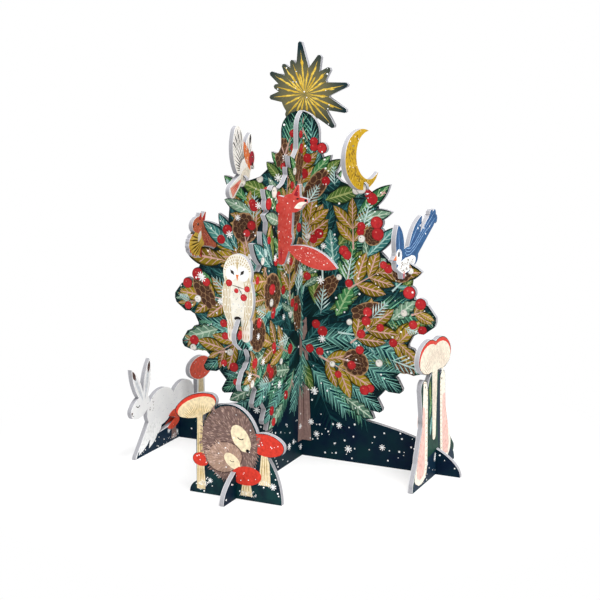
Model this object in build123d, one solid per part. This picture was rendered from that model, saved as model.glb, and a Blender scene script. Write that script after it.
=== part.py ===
from build123d import *
import math
import os

# A table-top tree of thick printed card: two leafy panels slot into a cross,
# and ten die-cut figures slot onto their edges.
# Frame: origin on the floor where the panels cross, +X along the side panel,
# +Y along the front-to-back panel (its front arm points to -Y), +Z up, millimetres.

# Card and the fit of every slot
card = 3.5
slot_play = 0.1
lap_gap = 0.1

# Snow hill at the foot of each panel
ground_reach = 104.0
arm_overhang = 20.0
hill_height = 36.0

# Where the two panels meet, and the half width of the rounded crown above the foliage,
# which is narrower towards the front on the front-to-back panel
lap_seat = 126.0
crown_top = 252.0
crown_half = 14.8
front_crown_half = 8.5

# Places along the panels where the figures hang, with the height of each seat
upper_reach = 47.0
upper_seat = 201.5
side_reach = 82.0
side_seat = 147.0
fox_reach = 40.0
fox_seat = 176.0
owl_beyond_side = 13.0
owl_seat = 113.0
star_reach = 8.0
star_slot_depth = 8.0

# Berry beside each hanging seat, and the fir tip that carries on past the owl
seat_berry = 4.4
seat_depth = 3.0
fir_overhang = 9.0

# Starburst: middle disc, half widths of a ray, and the rays as angle and length
star_height = 19.0
star_disc = 19.0
ray_start = 10.8
ray_root = 6.4
ray_end = 1.5
ray_point = 0.9
star_rays = [
    (96, 37), (67, 30), (44, 27), (13, 34), (-19, 34), (-45, 32),
    (-133, 22), (-174, 28), (168, 25), (152, 31), (130, 27), (114, 26),
]
star_tab = 7.5

# Crescent: outer and inner oval as centre, radii and tilt
moon_outer = (-3.0, 18.5, 31.0, 21.0, -10.0)
moon_inner = (8.5, 20.5, 23.5, 16.8, -10.0)

# Outline of the foliage, as distance from the middle and height.
# The solid middle, the same on both sides, with its neck counted from the crown's side and top:
neck_edge = [(-1.8, -12), (0.2, -26)]
core_edge = [
    (20, 215), (32, 204), (46, 199), (55, 191), (57, 179), (58, 168),
    (60, 158), (70, 149), (80, 141), (84, 132), (90, 121), (93, 110), (88, 100), (84, 92),
    (84, 82), (80, 73), (73, 66), (66, 56), (58, 47), (53, 37), (48, 26),
]
# leaves as base, tip and width, on the right, on the left and on both sides:
right_leaves = [((12, 203), (31.5, 219.5), 10), ((8, 205), (24, 222), 8)]
left_leaves = [
    ((8, 205), (22.5, 222.5), 8), ((14, 202), (26.5, 215), 8), ((42, 186), (61, 203.5), 9.5),
    ((38, 178), (61, 186), 10),
]
paired_leaves = [((36, 48), (58.5, 34.5), 11)]
# leaves beside the side seat, with the reach of each tip counted from that seat:
right_seat_leaves = [
    ((45, 182), (-13.5, 203.5), 10), ((43, 177), (-11.5, 184.5), 9.5), ((52, 152), (-8, 174.5), 10),
]
left_seat_leaves = [((50, 150), (-16, 175.5), 10), ((53, 149), (-3, 169), 12)]
paired_seat_leaves = [((60, 141), (11, 144), 15)]
# berries as centre and radius, the highest one counted from the crown's side and top:
crown_berry = (2.2, -25.5, 4.0)
right_berries = [(59.0, 176.5, 4.8), (60.0, 168.5, 4.8)]
paired_berries = [(55.5, 193.0, 4.4), (84.0, 129.0, 4.8), (92.5, 121.5, 4.2)]
# and fir sprigs as base, tip and width, with needles this far apart along the edge:
lower_sprigs = [((52, 92), (98, 74.5), 23), ((42, 80), (79.5, 57), 17), ((34, 62), (64.5, 41), 14)]
wide_sprig_base = (56.0, 116.0)
wide_sprig_tip = 109.5
wide_sprig_width = 30.0
needle_pitch = 7.0

# Sizes worked out from the values above
slot_width = card + 2 * slot_play
star_seat = crown_top - star_slot_depth
owl_reach = side_reach + owl_beyond_side
arm_reach = ground_reach + arm_overhang
arm_top = hill_height * math.sqrt(1 - (ground_reach / arm_reach) ** 2)
ground_seat = arm_top / 2


def oval(u, v, half_width, half_height, turn=0):
    if half_width == half_height:
        return berry(u, v, half_width)
    # four arcs: tight ones round the ends of the long axis, flat ones along its sides
    reach = max(half_width, half_height)
    half = min(half_width, half_height)
    end_radius = half * (half / reach) ** 0.7
    side_radius = (reach**2 - 2 * reach * end_radius + half**2) / (2 * (half - end_radius))
    end_centre = Vector(reach - end_radius, 0)
    side_centre = Vector(0, half - side_radius)
    joint = end_centre + (end_centre - side_centre).normalized() * end_radius
    corners = [(joint.X, -joint.Y), (joint.X, joint.Y), (-joint.X, joint.Y), (-joint.X, -joint.Y)]
    middles = [(reach, 0), (0, half), (-reach, 0), (0, -half)]
    arcs = [ThreePointArc(corners[i], middles[i], corners[(i + 1) % 4]) for i in range(4)]
    upright = 90 if half_height > half_width else 0
    return Pos(u, v) * Rot(0, 0, turn + upright) * make_face(arcs)


def taper(start, start_radius, end, end_radius):
    ends = [Pos(*start) * Circle(start_radius), Pos(*end) * Circle(end_radius)]
    return make_hull(ends[0].edges() + ends[1].edges())


def leaf(base, tip, width):
    root = Vector(*base)
    along = Vector(*tip) - root
    middle = root + along / 2
    bulge = Vector(-along.Y, along.X).normalized() * width / 2
    near_side = ThreePointArc(root, middle + bulge, root + along)
    far_side = ThreePointArc(root + along, middle - bulge, root)
    return make_face([near_side, far_side])


def spike(base, base_half, tip, tip_half, point=0):
    root = Vector(*base)
    end = Vector(*tip)
    heading = (end - root).normalized()
    side = Vector(-heading.Y, heading.X)
    shoulder = end - heading * point
    near = [root - side * base_half, shoulder - side * tip_half]
    far = [shoulder + side * tip_half, root + side * base_half]
    peak = [end] if point else []
    return make_face(Polyline(*near, *peak, *far, close=True))


def sprig(base, tip, width):
    root = Vector(*base)
    along = Vector(*tip) - root
    side = Vector(-along.Y, along.X).normalized() * width / 2
    teeth = round(along.length / needle_pitch)
    upper = []
    lower = []
    for tooth in range(teeth):
        for share, spread in ((tooth + 0.3, 0.88), (tooth + 0.9, 1.0)):
            offset = side * spread * math.sqrt(1 - (share / teeth) ** 4)
            upper.append(root + along * share / teeth + offset)
            lower.append(root + along * share / teeth - offset)
    outline = [root] + upper + [root + along] + lower[::-1]
    return make_face(Polyline(*outline, close=True))


def berry(u, v, radius):
    return Pos(u, v) * Circle(radius)


def hill(u, half_width, height):
    return oval(u, 0, half_width, height) & Pos(u, height / 2) * Rectangle(2 * half_width, height)


def snow_hill():
    top = EllipticalCenterArc((0, 0), arm_reach, hill_height, start_angle=0, arc_size=180)
    return make_face([top, Line((-arm_reach, 0), (arm_reach, 0))])


def joined(*shapes):
    return shapes[0] + list(shapes[1:])


def both_sides(shape):
    return shape + mirror(shape, about=Plane.YZ)


def slot(u, low, high):
    return Pos(u, (low + high) / 2) * Rectangle(slot_width, high - low)


def seat_stalk(reach, seat):
    berry_height = seat + seat_depth - seat_berry
    stalk = leaf((reach - 16, seat - 26), (reach, berry_height), 2 * seat_berry)
    return stalk + berry(reach, berry_height, seat_berry)


# One tree panel before its slots are cut
def tree_outline(crown_left):
    middle = (crown_half - crown_left) / 2
    radius = (crown_half + crown_left) / 2
    crown = taper((middle, lap_seat), radius, (middle, crown_top - radius), radius)
    right_edge = [(crown_half + u, crown_top + v) for u, v in neck_edge] + core_edge
    left_edge = [(-crown_left - u, crown_top + v) for u, v in neck_edge]
    left_edge += [(-u, v) for u, v in core_edge]
    core = make_face(Polyline(*right_edge, *left_edge[::-1], close=True))
    high_berry = berry(crown_half + crown_berry[0], crown_top + crown_berry[1], crown_berry[2])
    wide_tip = (owl_reach + fir_overhang, wide_sprig_tip)
    paired = [leaf(*shape) for shape in paired_leaves]
    paired += [seat_leaf(*shape) for shape in paired_seat_leaves]
    paired += [berry(*shape) for shape in paired_berries]
    paired += [sprig(*shape) for shape in lower_sprigs]
    paired.append(sprig(wide_sprig_base, wide_tip, wide_sprig_width))
    paired.append(seat_stalk(upper_reach, upper_seat))
    paired.append(seat_stalk(side_reach, side_seat))
    right = [leaf(*shape) for shape in right_leaves] + [berry(*shape) for shape in right_berries]
    right += [seat_leaf(*shape) for shape in right_seat_leaves]
    left = [leaf(*shape) for shape in left_leaves] + [seat_leaf(*shape) for shape in left_seat_leaves]
    left = [mirror(shape, about=Plane.YZ) for shape in left]
    return joined(crown, core, snow_hill(), both_sides(joined(*paired)), high_berry, *right, *left)


def seat_leaf(base, tip, width):
    return leaf(base, (side_reach + tip[0], tip[1]), width)


def side_panel(outline):
    cuts = [slot(0, lap_seat, crown_top + card)]
    for end in (-1, 1):
        cuts.append(slot(end * upper_reach, upper_seat, crown_top))
        cuts.append(slot(end * side_reach, side_seat, upper_seat))
        cuts.append(slot(end * ground_reach, ground_seat, hill_height))
    return outline - cuts


def front_panel(outline):
    cuts = [
        slot(0, -card, lap_seat + lap_gap),
        slot(star_reach, star_seat, crown_top + card),
        slot(-fox_reach, fox_seat, crown_top),
        slot(-owl_reach, owl_seat, upper_seat),
        slot(-ground_reach, ground_seat, hill_height),
    ]
    return outline - cuts


# Figures, each drawn about the point where it crosses its panel:
# hanging ones from their seat, standing ones from the floor
def star():
    rays = [star_tab_shape()]
    for angle, length in star_rays:
        heading = math.radians(angle)
        direction = Vector(math.cos(heading), math.sin(heading))
        root = Vector(0, star_height) + direction * ray_start
        tip = Vector(0, star_height) + direction * length
        rays.append(spike(root, ray_root, tip, ray_end, ray_point))
    return joined(oval(0, star_height, star_disc, star_disc), *rays)


def star_tab_shape():
    return taper((0, star_height), star_tab, (0, 0), star_tab)


def moon():
    return oval(*moon_outer) - oval(*moon_inner)


def robin():
    front_wing = oval(-8.5, 21.5, 8.5, 17.5, 6)
    back_wing = leaf((1, 6), (10.5, 32.5), 11)
    body = oval(2.5, 7.5, 9.5, 7.4, 30)
    belly = oval(1, 2, 8, 6)
    head = oval(12, 14, 4.6, 5.8)
    beak = spike((12, 11), 2.6, (15.5, 6), 0.6)
    tail = taper((-3, 2), 3.0, (-18, -7), 5.0)
    return joined(body, belly, front_wing, back_wing, head, beak, tail)


def squirrel():
    head = oval(-5, 19, 10, 6.5, -8)
    ears = [spike((1, 22), 2.6, (4.6, 27.8), 0.8), spike((-4, 23), 2.4, (-2.3, 27.8), 0.8)]
    body = taper((1, 14), 8, (14, 5), 9)
    foot = oval(0, 0, 8, 6)
    tail = oval(-9, 6, 9.5, 7)
    tufts = []
    for step in range(6):
        turn = math.radians(130 + 26 * step)
        place = Pos(-9 + 9.5 * math.cos(turn), 6 + 7 * math.sin(turn))
        tufts.append(place * RegularPolygon(2.6, 8))
    return joined(body, head, foot, tail, *ears, *tufts)


def swallow():
    belly = oval(-6, 6, 21, 9)
    head = oval(-22, 11, 6.2, 6.2)
    beak = spike((-25, 10.6), 2.4, (-33, 9.6), 0.5)
    front_wing = leaf((-17, 4), (-24, 32.5), 15)
    back_wing = leaf((-6, 4), (21.5, 33), 14)
    tail = taper((4, 8), 6, (43, 27.5), 5.5)
    feathers = [Pos(u, v) * RegularPolygon(3.4, 8) for u, v in ((41, 31.5), (47, 31), (50, 27))]
    legs = spike((-13, 1), 4, (-12.5, -6.2), 1.5)
    return joined(belly, head, beak, front_wing, back_wing, tail, legs, *feathers)


def fox():
    body = taper((2, 10), 11, (1, -10), 11)
    head = oval(13, 16.5, 8, 6.5)
    muzzle = spike((15.5, 16.9), 4.7, (24.6, 18.7), 1.2)
    ear = spike((14.8, 19.5), 4.2, (17.7, 29.2), 0.7)
    shoulder = taper((-2, 14), 6.5, (-6.5, 24), 2.5)
    legs = [taper((5, -8), 8, (4.5, -24), 2.8), taper((-4, -8), 7, (-5, -24), 2.8)]
    tail = leaf((8, -14), (46.5, -26.5), 13)
    return joined(body, head, muzzle, ear, shoulder, tail, *legs)


def owl():
    head = oval(-0.8, 39, 10.4, 12.8)
    body = oval(-0.8, 22, 11.6, 21.5)
    legs = both_sides(taper((5, 6), 3.6, (5.2, -4), 3))
    return joined(body, head, legs)


def hare():
    ground = hill(-2.5, 62.5, 14)
    shoulder = oval(-28, 31, 20, 14, 6)
    rump = oval(4, 29, 18, 14.5, 10)
    head = oval(-57, 38, 13, 7.5, 12)
    ears = [leaf((-51, 38), (-67.6, 68.2), 8), leaf((-51.5, 38), (-42.8, 71.5), 8.5)]
    front_legs = [taper((-40, 20), 7, (-60, 3), 2.8), taper((-34, 18), 6, (-46, 5), 2.4)]
    stem = taper((33, 6.2), 6, (33, 42), 6)
    cap = oval(33, 47, 18, 9.5, -6)
    return joined(shoulder, rump, head, ground, stem, cap, *ears, *front_legs)


def toadstool():
    ground = hill(-4.5, 43, 18)
    stem = taper((-6, 10), 8, (-8, 84), 5)
    cap = joined(oval(-19, 89, 20, 12, -4), oval(5.5, 87, 20.5, 11.5, -12))
    thicket = oval(-8, 44, 19, 33)
    left_animal = [
        taper((-28, 69), 6, (-22.5, 44), 6.5),
        taper((-22.5, 44), 6.5, (-24, 18), 15),
        taper((-28, 14), 12, (-43, 4), 4),
    ]
    right_animal = [
        taper((9, 68), 5.5, (10, 44), 7),
        taper((10, 44), 7, (15, 18), 12),
        taper((18, 16), 10, (33, 10), 4),
    ]
    return joined(ground, stem, cap, thicket, *left_animal, *right_animal)


def hedgehog():
    ground = joined(hill(9, 26.5, 40), hill(-13.5, 20.5, 12.5), oval(-16.5, 18, 8.6, 10.5))
    body = oval(-3, 38, 22, 27)
    tall_stem = taper((-25.2, 6), 3.4, (-25.5, 54), 2.8)
    tall_cap = oval(-28.5, 61, 17, 8, 24)
    small_cap = oval(-25, 24, 6.4, 5)
    red_cap = oval(24, 40, 13.5, 8, -6)
    return joined(body, ground, tall_stem, tall_cap, small_cap, red_cap)


# A standing figure's slot opens at the floor, a hanging one's below its seat
def standing(shape):
    return shape - slot(0, -card, ground_seat + lap_gap)


def hanging(shape, depth):
    return shape - slot(0, -depth, lap_gap)


def side_card(shape, reach, height=0):
    plane = Plane(origin=(reach, 0, height), x_dir=(0, 1, 0), z_dir=(1, 0, 0))
    return extrude(plane * shape, amount=card / 2, both=True)


def front_card(shape, reach, height=0):
    plane = Plane(origin=(0, reach, height), x_dir=(1, 0, 0), z_dir=(0, -1, 0))
    return extrude(plane * shape, amount=card / 2, both=True)


parts = {
    "side_panel": front_card(side_panel(tree_outline(crown_half)), 0),
    "front_panel": side_card(front_panel(tree_outline(front_crown_half)), 0),
    "star": front_card(hanging(star(), star_seat), star_reach, star_seat),
    "moon": side_card(hanging(moon(), upper_seat), upper_reach, upper_seat),
    "robin": side_card(hanging(robin(), upper_seat), -upper_reach, upper_seat),
    "squirrel": side_card(hanging(squirrel(), side_seat), -side_reach, side_seat),
    "swallow": side_card(hanging(swallow(), side_seat), side_reach, side_seat),
    "fox": front_card(hanging(fox(), fox_seat), -fox_reach, fox_seat),
    "owl": front_card(hanging(owl(), owl_seat), -owl_reach, owl_seat),
    "hare": side_card(standing(hare()), -ground_reach),
    "toadstool": side_card(standing(toadstool()), ground_reach),
    "hedgehog": front_card(standing(hedgehog()), -ground_reach),
}

os.makedirs("parts", exist_ok=True)
for name, solid in parts.items():
    solid.label = name
    export_step(solid, f"parts/{name}.step")
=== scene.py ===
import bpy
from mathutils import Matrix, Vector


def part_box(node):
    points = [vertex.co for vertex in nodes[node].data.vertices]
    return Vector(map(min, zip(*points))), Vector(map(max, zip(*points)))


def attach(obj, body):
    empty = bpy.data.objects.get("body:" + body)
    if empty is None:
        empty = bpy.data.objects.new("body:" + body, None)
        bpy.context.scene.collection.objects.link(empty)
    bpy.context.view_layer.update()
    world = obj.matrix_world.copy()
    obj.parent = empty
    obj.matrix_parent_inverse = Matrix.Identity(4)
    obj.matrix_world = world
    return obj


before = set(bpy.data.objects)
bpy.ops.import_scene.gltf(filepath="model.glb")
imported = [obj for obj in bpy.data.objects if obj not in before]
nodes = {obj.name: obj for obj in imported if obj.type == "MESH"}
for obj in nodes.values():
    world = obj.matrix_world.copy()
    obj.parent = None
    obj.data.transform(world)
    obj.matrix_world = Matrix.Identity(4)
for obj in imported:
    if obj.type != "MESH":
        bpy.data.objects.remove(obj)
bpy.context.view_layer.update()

import math
import random

import bpy
from mathutils import Vector
from mathutils.bvhtree import BVHTree

mm = 0.001
rgba = {"data_type": "RGBA"}
print("frame loaded:", len(nodes), "cards")


def linear(hexColour):
    channels = [int(hexColour[i:i + 2], 16) / 255 for i in (1, 3, 5)]
    return [c / 12.92 if c <= 0.04045 else ((c + 0.055) / 1.055) ** 2.4 for c in channels] + [1]


def addNode(tree, kind, inputs={}, out=None, **settings):
    # returns the output asked for, or else the first that the settings leave in use
    made = tree.nodes.new("ShaderNode" + kind)
    for name, value in settings.items():
        setattr(made, name, value)
    for name, value in inputs.items():
        if isinstance(value, bpy.types.NodeSocket):
            tree.links.new(value, made.inputs[name])
        else:
            made.inputs[name].default_value = linear(value) if isinstance(value, str) else value
    return made.outputs[out] if out else next(socket for socket in made.outputs if socket.enabled)


def newMaterial(name):
    material = bpy.data.materials.new(name)
    material.use_nodes = True
    return material, material.node_tree, material.node_tree.nodes["Principled BSDF"]


# Offset ink under a matt film: rich flat colour, a soft sheen and almost no mirror
film = {"roughness": 0.5, "specular": 0.07}
# Brush grain of the printed paint, drawn a little coarser than real so that it shows
brush = {"grain": 2.2, "depth": 0.18}


def underFilm(tree, shader, colour):
    place = addNode(tree, "TexCoord", out="Object")
    grain = addNode(tree, "TexNoise", {"Vector": place, "Scale": 1 / (brush["grain"] * mm), "Detail": 3})
    least, most = 1 - brush["depth"], 1 + brush["depth"]
    lift = addNode(tree, "MapRange", {"Value": grain, 1: 0.3, 2: 0.7, 3: least, 4: most})
    painted = addNode(tree, "Mix", {0: 1.0, 6: colour, 7: lift}, blend_type="MULTIPLY", **rgba)
    tree.links.new(painted, shader.inputs["Base Color"])
    shader.inputs["Roughness"].default_value = film["roughness"]
    shader.inputs["Specular IOR Level"].default_value = film["specular"]


# Plain printed colour, from dark to light by the tint of each brush mark
def plainInk(name, dark, light):
    material, tree, shader = newMaterial(name)
    tint = addNode(tree, "Attribute", out="Fac", attribute_name="tint")
    underFilm(tree, shader, addNode(tree, "Mix", {0: tint, 6: dark, 7: light}, **rgba))
    return material


# shares of a leaf's width, and of the spacing of its veins
leafPrint = {"halfTone": 0.3, "rim": (0.35, 0.47), "rimShare": 0.96, "rib": 0.055,
             "veinLean": -0.42, "veinWidth": 0.16, "veinEnd": 0.38}


# Printed leaf: two-toned blade, pale midrib and veins, dark margin that parts it from its neighbours
def leafInk(name, dark, light, vein, margin, pairs=6):
    material, tree, shader = newMaterial(name)
    spot = addNode(tree, "SeparateXYZ", {0: addNode(tree, "UVMap")}).node.outputs
    across = addNode(tree, "Math", {0: spot["Y"], 1: 0.5}, operation="SUBTRACT")
    side = addNode(tree, "Math", {0: across}, operation="ABSOLUTE")
    half = addNode(tree, "Math", {0: across, 1: 0.0}, operation="GREATER_THAN")
    tint = addNode(tree, "Attribute", out="Fac", attribute_name="tint")
    tone = addNode(tree, "Math", {0: half, 1: leafPrint["halfTone"], 2: tint}, operation="MULTIPLY_ADD")
    blade = addNode(tree, "Mix", {0: tone, 6: dark, 7: light}, **rgba)
    begin, end = leafPrint["rim"]
    rim = addNode(tree, "MapRange", {"Value": side, 1: begin, 2: end, 4: leafPrint["rimShare"]})
    blade = addNode(tree, "Mix", {0: rim, 6: blade, 7: margin}, **rgba)
    rib = addNode(tree, "Math", {0: side, 1: leafPrint["rib"]}, operation="LESS_THAN")
    sweep = addNode(tree, "Math", {0: side, 1: leafPrint["veinLean"], 2: spot["X"]}, operation="MULTIPLY_ADD")
    wave = addNode(tree, "Math", {0: sweep, 1: float(pairs)}, operation="MULTIPLY")
    phase = addNode(tree, "Math", {0: wave}, operation="FRACT")
    line = addNode(tree, "Math", {0: phase, 1: leafPrint["veinWidth"]}, operation="LESS_THAN")
    short = addNode(tree, "Math", {0: side, 1: leafPrint["veinEnd"]}, operation="LESS_THAN")
    veins = addNode(tree, "Math", {0: line, 1: short}, operation="MULTIPLY")
    drawn = addNode(tree, "Math", {0: rib, 1: veins}, operation="MAXIMUM")
    underFilm(tree, shader, addNode(tree, "Mix", {0: drawn, 6: blade, 7: vein}, **rgba))
    return material


# places and sizes as shares of the round's width
roundPrint = {"middle": (0.5, 0.5, 0), "glint": (0.36, 0.66, 0), "glintSize": 0.07, "rim": (0.38, 0.48)}


# Printed round: a berry or a cone scale with its own rim and a small painted light
def roundInk(name, dark, light, rim, glint):
    material, tree, shader = newMaterial(name)
    spot = addNode(tree, "UVMap")
    fromMiddle = addNode(tree, "VectorMath", {0: spot, 1: roundPrint["middle"]}, operation="DISTANCE")
    fromGlint = addNode(tree, "VectorMath", {0: spot, 1: roundPrint["glint"]}, operation="DISTANCE")
    begin, end = roundPrint["rim"]
    edge = addNode(tree, "MapRange", {"Value": fromMiddle, 1: begin, 2: end})
    shine = addNode(tree, "Math", {0: fromGlint, 1: roundPrint["glintSize"]}, operation="LESS_THAN")
    tint = addNode(tree, "Attribute", out="Fac", attribute_name="tint")
    colour = addNode(tree, "Mix", {0: tint, 6: dark, 7: light}, **rgba)
    colour = addNode(tree, "Mix", {0: edge, 6: colour, 7: rim}, **rgba)
    underFilm(tree, shader, addNode(tree, "Mix", {0: shine, 6: colour, 7: glint}, **rgba))
    return material


inkSets = [
    # material, dark, light
    (plainInk, {
        "firTeal": ("fir_needle_print_teal", "#06333d", "#8fd2c2"),
        "firGreen": ("fir_needle_print_green", "#0b3f34", "#85caa5"),
        "firDeep": ("fir_needle_print_deep", "#072831", "#3f8583"),
        "twig": ("twig_print", "#b08a80", "#dcb6aa"),
        "twigPale": ("pale_twig_print", "#8fb9b4", "#cfe6e2"),
        "bark": ("bark_print", "#7f6661", "#9b817a"),
        "barkLine": ("bark_line_print", "#5f4b48", "#b59c94"),
        "snow": ("snow_print", "#eef1f0", "#ffffff"),
        "gold": ("gold_print", "#c7a02c", "#f0d161"),
        "goldDark": ("dark_gold_print", "#4a370c", "#7a5a14"),
        "goldPale": ("pale_gold_print", "#e8c85a", "#f7e59c"),
        "cream": ("cream_print", "#e9dfca", "#faf5ea"),
        "buff": ("buff_print", "#d5bd88", "#f1e1bf"),
        "fogLine": ("fog_line_print", "#a3a9af", "#c9ced2"),
        "ochreLine": ("ochre_line_print", "#a5843a", "#cdb068"),
        "soot": ("soot_print", "#1d1a1c", "#3a3331"),
        "orange": ("orange_print", "#dc6a3a", "#ee9150"),
        "red": ("red_print", "#c22b25", "#dd4634"),
        # a lighter copy of the red: painted light for the caps on the hare's card, which stands in shade
        "scarlet": ("scarlet_print", "#df4530", "#ef654b"),
        "crimson": ("crimson_print", "#8f1f2c", "#b3283a"),
        "coral": ("coral_print", "#dd6f5f", "#f0a795"),
        "blush": ("blush_print", "#e0a99d", "#f1cfc4"),
        "russet": ("russet_print", "#96402a", "#cd6a47"),
        "umber": ("umber_print", "#4f3b38", "#77605a"),
        "mauve": ("mauve_brown_print", "#7d645d", "#a1877e"),
        "tan": ("tan_print", "#a3836f", "#cfb3a4"),
        "blueDeep": ("deep_blue_print", "#274a7c", "#3a66a0"),
        "blueLight": ("light_blue_print", "#7aa4d0", "#a9c8e6"),
        "navy": ("night_print", "#0a1d33", "#123447"),
        "mist": ("mist_print", "#cdd1d7", "#eceef1"),
    }),
    # material, dark, light, vein, margin, pairs of veins
    (leafInk, {
        "leafOchre": ("leaf_print_ochre", "#6f5d14", "#a28b24", "#d3a89c", "#1c190c"),
        "leafGreen": ("leaf_print_green", "#1f5235", "#42824f", "#98bd8a", "#071b15", 5),
        "leafTeal": ("leaf_print_teal", "#1a595e", "#529890", "#a9d0c6", "#051b21", 7),
        "leafSage": ("leaf_print_sage", "#426957", "#789c82", "#bbcfba", "#0c1f1c", 5),
        "leafMoss": ("leaf_print_moss", "#2a4b2c", "#557534", "#a1ad6c", "#091610", 8),
        "leafNight": ("leaf_print_night", "#0a262d", "#194547", "#3a7170", "#040f15"),
    }),
    # material, dark, light, rim, glint
    (roundInk, {
        "berry": ("berry_print_red", "#a92429", "#c93639", "#9d2027", "#d0655d"),
        "berryPale": ("berry_print_white", "#dcd7cd", "#f4f1ea", "#a9a7a6", "#5b5150"),
        "cone": ("cone_scale_print", "#3c281f", "#5a3d2d", "#ab8560", "#5a3d2d"),
    }),
]
inks = {}
for mixed, colours in inkSets:
    for name, values in colours.items():
        inks[name] = mixed(*values)
print("inks mixed:", len(inks))

# Printed greyboard: a printed paper face on each side of a grey, fibrous core that shows at the cut edge
board = {
    "thickness": (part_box("owl")[1].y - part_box("owl")[0].y) / mm,
    "liner": 0.32,        # white paper pasted on each side
    "core": "#8f8f94",
    "coreLight": "#b3b3b8",
    "linerColour": "#d2d2d5",
    "edgeRoughness": 0.9,
    "fibre": 0.7,         # mm, drawn coarser than real so that it shows
    "fibreHeight": 0.15,
    "fibreStrength": 0.25,
    "inkStep": 0.012,
    "inkSink": 0.05,
    "inkMargin": 0.35,
    "slotHalf": 2.3,      # half of a slot with its ink margin
    "besideSlot": 4.2,
}


def mottled(dark, light, grain):
    def build(tree, place):
        noise = addNode(tree, "TexNoise", {"Vector": place, "Scale": 1 / (grain * mm), "Detail": 4})
        share = addNode(tree, "MapRange", {"Value": noise, 1: 0.35, 2: 0.65})
        return addNode(tree, "Mix", {0: share, 6: dark, 7: light}, **rgba)
    return build


def fading(tree, value, begin, end, first, second, most=1.0):
    # from the first colour to the second over a stretch in mm
    share = addNode(tree, "MapRange", {"Value": value, 1: begin * mm, 2: end * mm, 4: most})
    return addNode(tree, "Mix", {0: share, 6: first, 7: second}, **rgba)


def nightUnderLeaves(tree, place):
    # dark green between the leaves, turning to a night blue on the snow hill
    leaves = mottled("#071a1e", "#0f2d2d", 9)(tree, place)
    hill = mottled("#02162d", "#04272f", 16)(tree, place)
    height = addNode(tree, "SeparateXYZ", {0: place}, "Z")
    return fading(tree, height, 34, 60, hill, leaves)


def starGlow(tree, place):
    # olive gold round the middle, night green at the ends of the rays
    low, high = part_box("star")
    middle = Vector((0, (low.y + high.y) / 2, (starburst["seat"] + starburst["middle"][1]) * mm))
    reach = addNode(tree, "VectorMath", {0: place, 1: middle}, operation="DISTANCE")
    warm = mottled("#857a4c", "#746c4e", 3)(tree, place)
    night = mottled("#10262e", "#173338", 4)(tree, place)
    glow = fading(tree, reach, 4, 24, warm, "#585a48")
    return fading(tree, reach, 18, 33, glow, night)


def hareCoatWithPaintedShade(tree, place):
    # white in front, with a soft grey painted shade over the rump
    white = mottled("#f9f9fa", "#ffffff", 7)(tree, place)
    along = addNode(tree, "SeparateXYZ", {0: place}, "Y")
    return fading(tree, along, -16, 26, white, "#c9ccd2", 0.12)


def printedBoard(name, faceColour):
    card = nodes[name]
    low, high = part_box(name)
    size = high - low
    thin = "Y" if size.y < size.x else "X"
    middle = ((low + high) / 2)["XY".index(thin)]
    material, tree, shader = newMaterial(name + "_printed_greyboard")
    place = addNode(tree, "TexCoord", out="Object")
    normal = addNode(tree, "TexCoord", out="Normal")
    facing = addNode(tree, "SeparateXYZ", {0: normal}, thin)
    turned = addNode(tree, "Math", {0: facing}, operation="ABSOLUTE")
    isFace = addNode(tree, "Math", {0: turned, 1: 0.5}, operation="GREATER_THAN")
    # cut edge: felted grey core between the two pasted papers
    fibre = addNode(tree, "TexNoise", {"Vector": place, "Scale": 1 / (board["fibre"] * mm), "Detail": 4})
    core = addNode(tree, "Mix", {0: fibre, 6: board["core"], 7: board["coreLight"]}, **rgba)
    depth = addNode(tree, "SeparateXYZ", {0: place}, thin)
    offset = addNode(tree, "Math", {0: depth, 1: middle}, operation="SUBTRACT")
    away = addNode(tree, "Math", {0: offset}, operation="ABSOLUTE")
    linerStart = (board["thickness"] / 2 - board["liner"]) * mm
    liner = addNode(tree, "Math", {0: away, 1: linerStart}, operation="GREATER_THAN")
    edge = addNode(tree, "Mix", {0: liner, 6: core, 7: board["linerColour"]}, **rgba)
    colour = addNode(tree, "Mix", {0: isFace, 6: edge, 7: faceColour(tree, place)}, **rgba)
    tree.links.new(colour, shader.inputs["Base Color"])
    rough = addNode(tree, "Mix", {0: isFace, 2: board["edgeRoughness"], 3: film["roughness"]})
    tree.links.new(rough, shader.inputs["Roughness"])
    shader.inputs["Specular IOR Level"].default_value = film["specular"]
    bump = addNode(tree, "Bump", {"Strength": board["fibreStrength"], "Distance": board["fibreHeight"] * mm,
                                  "Height": fibre})
    tree.links.new(bump, shader.inputs["Normal"])
    card.data.materials.clear()
    card.data.materials.append(material)


# Unit shapes, each one long and one wide, lying flat with the top at height one
def setMode(mode):
    bpy.ops.object.mode_set(mode=mode)


def deselect():
    if bpy.context.object and bpy.context.object.mode != "OBJECT":
        setMode("OBJECT")
    bpy.ops.object.select_all(action="DESELECT")


def selectWhere(piece, test):
    setMode("EDIT")
    bpy.ops.mesh.select_mode(type="VERT")
    bpy.ops.mesh.select_all(action="DESELECT")
    setMode("OBJECT")
    for vertex in piece.data.vertices:
        vertex.select = test(vertex.co)
    setMode("EDIT")


def finishUnit(name, form):
    # the flat outline is thickened upwards and closed
    piece = bpy.context.object
    bpy.ops.object.transform_apply()
    setMode("EDIT")
    bpy.ops.mesh.select_all(action="SELECT")
    bpy.ops.mesh.extrude_region_move(TRANSFORM_OT_translate={"value": (0, 0, 1)})
    bpy.ops.mesh.select_all(action="SELECT")
    bpy.ops.mesh.normals_make_consistent(inside=False)
    setMode("OBJECT")
    piece.name = name
    piece["levels"] = 1
    piece["form"] = form
    return piece


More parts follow.
